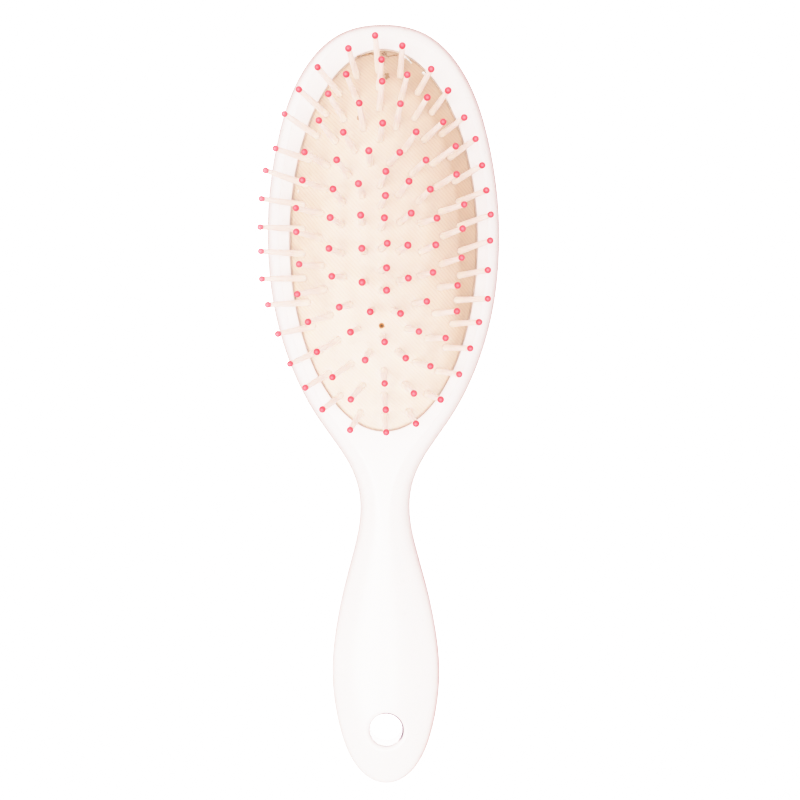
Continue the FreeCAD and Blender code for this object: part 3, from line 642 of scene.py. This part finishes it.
# the rubber is browner towards its edge; it is also painted darker as shade, most of all at the right and the far
# end, away from the light
ang = np.arctan2((co[:, 1] - OY) / AY, (co[:, 0] - OX) / AX)
amount = np.interp(np.degrees(ang) % 360.0,
                   [0, 50, 75, 90, 120, 150, 180, 215, 270, 315, 340, 360],
                   [0.98, 1.02, 0.92, 0.90, 0.66, 0.54, 0.55, 0.29, 0.10, 0.30, 0.75, 0.98])
near = np.clip((rr - 0.38) / 0.62, 0, 1) ** 1.7
slow = np.clip((rr - 0.35) / 0.45, 0, 1)
fast = np.clip((rr - 0.765) / 0.115, 0, 1)
wide = 0.42 * slow * slow * (3 - 2 * slow) + 0.55 * fast * fast * (3 - 2 * fast)
right = np.clip(np.cos(ang - math.radians(8)), 0, 1) ** 0.8
edge_tan_and_shade = (near * (1 - right) + wide * right) * amount + 0.05 * amount + 0.18 * amount * np.clip(rr / 0.5, 0, 1)
# its outermost ring is browner still at the lower right
turn = (np.degrees(ang) - 321.0 + 180.0) % 360.0 - 180.0
edge_tan_and_shade += 0.30 * np.clip((rr - 0.84) / 0.10, 0, 1) * np.exp(-(turn / 17.0) ** 2)
at = me.attributes.new("edge_tan_and_shade", "FLOAT", "POINT")
at.data.foreach_set("value", edge_tan_and_shade.astype(np.float32))
# places where glue was smeared on the cloth
SMEARS = [(0.00145, 0.0982, 0.0011, 0.0015, 1.6), (-0.0072, 0.0853, 0.0007, 0.0011, 1.5),
          (-0.0007, 0.0225, 0.0011, 0.0008, 0.9), (0.0003, 0.0230, 0.0008, 0.0008, 0.9),
          (0.0065, -0.0065, 0.0012, 0.0006, 0.7), (-0.0195, 0.0792, 0.0008, 0.0009, 0.6)]
sm = np.zeros(len(co))
for (x, y, sx, sy, s) in SMEARS:
    sm = np.maximum(sm, s * np.exp(-((co[:, 0] - x) / sx) ** 2 - ((co[:, 1] - y) / sy) ** 2))
at = me.attributes.new("smudge", "FLOAT", "POINT")
at.data.foreach_set("value", sm.astype(np.float32))
# painted light round each pin's foot
at = me.attributes.new("feet", "FLOAT", "POINT")
painted_light_round_feet = np.zeros(len(co))
for f in FEET:
    d2 = (co[:, 0] - f[0]) ** 2 + (co[:, 1] - f[1]) ** 2
    painted_light_round_feet = np.maximum(painted_light_round_feet, np.exp(-d2 / 0.0019 ** 2))
at.data.foreach_set("value", painted_light_round_feet.astype(np.float32))
# painted shade of the vent's hole, a brown ring round it
at = me.attributes.new("vent_painted_shade", "FLOAT", "POINT")
vd = np.hypot(co[:, 0] - VENT[0], co[:, 1] - VENT[1])
at.data.foreach_set("value", np.clip((0.00092 - vd) / 0.00026, 0, 1).astype(np.float32))
# painted shade in the corner beside the opening, under the lip, strongest towards the upper right
corner_shade_wobble = np.array([0.5 + 0.5 * noise.fractal(Vector((math.cos(a) * 11.0, math.sin(a) * 11.0, 2.2)), 0.7, 2.0, 3) for a in ang])
edge_gap = np.clip(1.0 - rr, 0, 1)
painted_shade_weight = 0.06 + 0.36 * np.clip(np.cos(ang - math.radians(30)), 0, 1)
at = me.attributes.new("edge", "FLOAT", "POINT")
at.data.foreach_set("value", (np.exp(-(edge_gap / 0.012) ** 2) * painted_shade_weight * (0.5 + corner_shade_wobble)).astype(np.float32))
uvl = me.uv_layers.new(name="cloth")
lv = np.zeros(len(me.loops), int)
me.loops.foreach_get("vertex_index", lv)
su = RX * np.arcsin(np.clip((co[:, 0] - OX) / RX, -1, 1))
sv = RY * np.arcsin(np.clip((co[:, 1] - OY) / RY, -1, 1))
uvl.data.foreach_set("uv", np.stack([su[lv], sv[lv]], -1).astype(np.float32).ravel())
me.polygons.foreach_set("use_smooth", np.ones(len(me.polygons), bool))
me.materials.append(PAD)
me.update()
pad = bpy.data.objects.new("cushion", me)
bpy.context.scene.collection.objects.link(pad)
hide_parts("cushion_pad")
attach(pad, "frame")
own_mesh(pad)

# ------------------------------------------------------------------ the glue
LX, LY = 0.02814, 0.05730


def lip_point(t, inset=0.0):
    return (OX + (LX - inset) * math.cos(t), OY + (LY - inset) * math.sin(t))


def bead_mesh():
    # a thin bead in the corner between cloth and opening, thicker here and there
    n, k = 1400, 7
    vs, fs = [], []
    for a in range(n):
        t = 2 * math.pi * a / n
        p = Vector((math.cos(t) * 9.0, math.sin(t) * 9.0, 0.3))
        w = 0.5 + 0.5 * noise.fractal(p, 0.7, 2.0, 3)
        w2 = 0.5 + 0.5 * noise.fractal(p * 4.3, 0.8, 2.0, 3)
        top = math.exp(-((t - math.pi / 2 - 0.02) / 0.24) ** 2)
        h = 0.00112 + 0.00010 * w + 0.00008 * w2 + 0.00018 * top * (0.2 + w2)
        x0, y0 = lip_point(t, 0.00002)
        cxn, cyn = math.cos(t) / LX, math.sin(t) / LY
        l = math.hypot(cxn, cyn)
        nx, ny = cxn / l, cyn / l                       # outward
        x1, y1 = x0, y0
        base = ZE + 0.00002
        # inner foot of the bead on the cloth at the bead's height
        reach = 0.00020 + 0.00012 * w2 + 0.00010 * top
        prof = []
        for s in range(k):
            q = s / (k - 1)
            xx = x0 - nx * reach * q
            yy = y0 - ny * reach * q
            rq = math.sqrt(((xx - OX) / AX) ** 2 + ((yy - OY) / AY) ** 2)
            g = max(0.0, 1.0 - rq)
            zc = float(dome(np.array(xx), np.array(yy))) + float(shoulder(g))
            zt = base + h * (1 - 0.9 * q) ** 0.6 + (zc - base) * q
            zt = max(zt, zc + 0.00003) if q < 1 else zc - 0.00004
            prof.append((xx, yy, zt))
        prof.append((x0 - nx * reach * 0.6, y0 - ny * reach * 0.6, base - 0.00001))
        prof.append((x0, y0, base - 0.00001))
        vs.append(prof)
    m = len(vs[0])
    flat_v = [p for pr in vs for p in pr]
    for a in range(n):
        b = (a + 1) % n
        for s in range(m):
            s2 = (s + 1) % m
            fs.append((a * m + s, a * m + s2, b * m + s2, b * m + s))
    return flat_v, fs


def add_lump(vs, fs, x, y, z, sx, sy, sz, turn, seed, sub=2):
    bm2 = bmesh.new()
    bmesh.ops.create_icosphere(bm2, subdivisions=sub, radius=1.0)
    c, s = math.cos(turn), math.sin(turn)
    base = len(vs)
    for w in bm2.verts:
        p = w.co.copy()
        k = 1.0 + 0.30 * noise.noise(p * 1.6 + Vector((seed, 2 * seed, 0))) + 0.14 * noise.noise(p * 4.0 + Vector((seed, 0, seed)))
        px, py, pz = p.x * sx * k, p.y * sy * k, p.z * sz * k
        vs.append((x + c * px - s * py, y + s * px + c * py, z + pz))
    for f in bm2.faces:
        fs.append(tuple(base + w.index for w in f.verts))
    bm2.free()


def lump_z(x, y):
    rq = math.sqrt(((x - OX) / AX) ** 2 + ((y - OY) / AY) ** 2)
    if rq > 1.0:
        return 0.0145
    g = max(0.0, 1.0 - rq)
    return float(dome(np.array(x), np.array(y))) + float(shoulder(g))


vs, fs = bead_mesh()
bead_count = len(vs)
# clumps of dried glue at the top of the opening
CLUMPS = [(-0.0071, 0.10440, 0.0008, 0.00017, 0.00018, 0.42), (-0.0058, 0.10478, 0.0008, 0.00020, 0.00020, 0.20),
          (-0.0044, 0.10500, 0.0009, 0.00024, 0.00022, 0.14), (-0.0031, 0.10520, 0.0008, 0.00020, 0.00020, -0.22),
          (-0.0021, 0.10505, 0.0006, 0.00015, 0.00016, -0.35),
          (0.0000, 0.10525, 0.00030, 0.00024, 0.00026, 0.3), (0.0006, 0.10560, 0.00026, 0.00022, 0.00024, 0.9),
          (0.0011, 0.10520, 0.00022, 0.00034, 0.00026, 0.3), (0.0005, 0.10485, 0.00034, 0.00018, 0.00024, -0.4),
          (0.0013, 0.10455, 0.00022, 0.00026, 0.00020, 0.8), (0.0018, 0.10425, 0.00026, 0.00018, 0.00018, -0.7),
          (0.0026, 0.10450, 0.00060, 0.00014, 0.00016, 0.25), (0.0036, 0.10475, 0.00050, 0.00018, 0.00020, 0.1),
          (0.0043, 0.10470, 0.00030, 0.00020, 0.00020, -0.6), (0.0052, 0.10500, 0.00040, 0.00012, 0.00014, 0.6),
          (0.0056, 0.10560, 0.00024, 0.00034, 0.00024, 0.1)]
for n, (x, y, a, b, c, turn) in enumerate(CLUMPS):
    add_lump(vs, fs, x, y, (0.01445 if math.hypot((x - OX) / LX, (y - OY) / LY) > 0.997 else lump_z(x, y)) + 0.25 * c, a, b, c, turn, 1.3 * n + 0.7)
gm = bpy.data.meshes.new("glue_bead")
gm.from_pydata(vs, [], fs)
bm = bmesh.new()
bm.from_mesh(gm)
bmesh.ops.recalc_face_normals(bm, faces=bm.faces)
bm.to_mesh(gm)
bm.free()
gm.polygons.foreach_set("use_smooth", np.ones(len(gm.polygons), bool))
gm.materials.append(GLUE)
at = gm.attributes.new("thin", "FLOAT", "POINT")
at.data.foreach_set("value", (np.arange(len(gm.vertices)) < bead_count).astype(np.float32))
glue = bpy.data.objects.new("glue_bead", gm)
bpy.context.scene.collection.objects.link(glue)
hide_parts("cushion_adhesive")
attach(glue, "frame")

# clear drops of the same glue that ran onto the cloth
vs, fs = [], []
DROPS = [(0.0069, 0.1041, 0.00080, 0.00042, 0.00026, -0.60), (0.0078, 0.1034, 0.00085, 0.00034, 0.00024, -0.85),
         (0.0085, 0.1026, 0.00060, 0.00026, 0.00020, -0.95), (0.0124, 0.0993, 0.00060, 0.00055, 0.00034, -0.4),
         (0.0132, 0.0999, 0.00050, 0.00030, 0.00022, 0.5), (-0.0254, 0.0640, 0.00022, 0.00060, 0.00014, 0.05)]
for n, (x, y, a, b, c, turn) in enumerate(DROPS):
    add_lump(vs, fs, x, y, lump_z(x, y) + 0.1 * c, a, b, c, turn, 2.1 * n + 0.4)
dm = bpy.data.meshes.new("glue_drops")
dm.from_pydata(vs, [], fs)
dm.polygons.foreach_set("use_smooth", np.ones(len(dm.polygons), bool))
dm.materials.append(CLEAR)
drops = bpy.data.objects.new("glue_drops", dm)
bpy.context.scene.collection.objects.link(drops)
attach(drops, "frame")
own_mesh(drops)

# ------------------------------------------------------------ floor and light
fm = bpy.data.materials.new("floor_white")
fm.use_nodes = True
t = fm.node_tree
t.nodes.clear()
out = t.nodes.new("ShaderNodeOutputMaterial")
dif = t.nodes.new("ShaderNodeBsdfDiffuse")
dif.inputs["Color"].default_value = (0.62, 0.56, 0.55, 1.0)
emi = t.nodes.new("ShaderNodeEmission")
emi.inputs["Color"].default_value = (1, 1, 1, 1)
emi.inputs["Strength"].default_value = 3.0
lp = t.nodes.new("ShaderNodeLightPath")
add = t.nodes.new("ShaderNodeAddShader")
mixs = t.nodes.new("ShaderNodeMixShader")
t.links.new(dif.outputs[0], add.inputs[0])
t.links.new(emi.outputs[0], add.inputs[1])
t.links.new(lp.outputs["Is Camera Ray"], mixs.inputs[0])
t.links.new(dif.outputs[0], mixs.inputs[1])
t.links.new(add.outputs[0], mixs.inputs[2])
t.links.new(mixs.outputs[0], out.inputs["Surface"])
bm = bmesh.new()
bmesh.ops.create_grid(bm, x_segments=8, y_segments=8, size=6.0)
flm = bpy.data.meshes.new("floor")
bm.to_mesh(flm)
bm.free()
flm.materials.append(fm)
floor = bpy.data.objects.new("floor", flm)
floor.location = (0, 0, -0.00002)
bpy.context.scene.collection.objects.link(floor)

world = bpy.data.worlds.new("studio")
bpy.context.scene.world = world
world.use_nodes = True
t = world.node_tree
t.nodes.clear()
wout = t.nodes.new("ShaderNodeOutputWorld")
bg = t.nodes.new("ShaderNodeBackground")
tc = t.nodes.new("ShaderNodeTexCoord")
dot = t.nodes.new("ShaderNodeVectorMath")
dot.operation = "DOT_PRODUCT"
dot.inputs[1].default_value = (-0.20, -0.18, 0.963)      # a little brighter from the lower left
rampn = t.nodes.new("ShaderNodeValToRGB")
rampn.color_ramp.interpolation = "EASE"
el = rampn.color_ramp.elements
# dark horizon, an even bright dome, a slightly dimmer middle overhead
SKY = [(0.0, (0.300, 0.262, 0.258)), (0.48, (0.800, 0.715, 0.708)), (0.56, (1.560, 1.480, 1.465)),
       (0.66, (1.860, 1.800, 1.785)), (0.78, (1.560, 1.525, 1.512)), (0.90, (1.120, 1.100, 1.090)),
       (0.955, (0.820, 0.806, 0.798)), (1.0, (0.600, 0.590, 0.585))]
while len(el) < len(SKY):
    el.new(0.5)
for k, (pos, col) in enumerate(SKY):
    el[k].position = pos
    el[k].color = (*col, 1)
half = t.nodes.new("ShaderNodeMath")
half.operation = "MULTIPLY_ADD"
half.inputs[1].default_value = 0.5
half.inputs[2].default_value = 0.5
t.links.new(tc.outputs["Generated"], dot.inputs[0])
t.links.new(dot.outputs["Value"], half.inputs[0])
t.links.new(half.outputs[0], rampn.inputs["Fac"])
t.links.new(rampn.outputs["Color"], bg.inputs["Color"])
bg.inputs["Strength"].default_value = 0.92
t.links.new(bg.outputs[0], wout.inputs["Surface"])


def area(name, loc, target, size, power, color=(1, 1, 1), size_y=None):
    d = bpy.data.lights.new(name, "AREA")
    d.energy = power
    d.color = color
    d.size = size
    if size_y:
        d.shape = "RECTANGLE"
        d.size_y = size_y
    o = bpy.data.objects.new(name, d)
    bpy.context.scene.collection.objects.link(o)
    o.location = loc
    o.rotation_euler = (Vector(target) - Vector(loc)).to_track_quat("-Z", "Y").to_euler()
    return o


area("key_soft", (-0.26, -0.20, 1.15), (0, 0.02, 0.0), 0.66, 7.0, (1.0, 0.985, 0.97))
# light that comes back off the table inside the hanging hole
under = area("table_glow", (0.0, -0.0981, 0.0003), (0.0, -0.0981, 1.0), 0.0084, 0.0006)
under.data.shape = "DISK"
under.visible_camera = False

# --------------------------------------------------------------------- finish
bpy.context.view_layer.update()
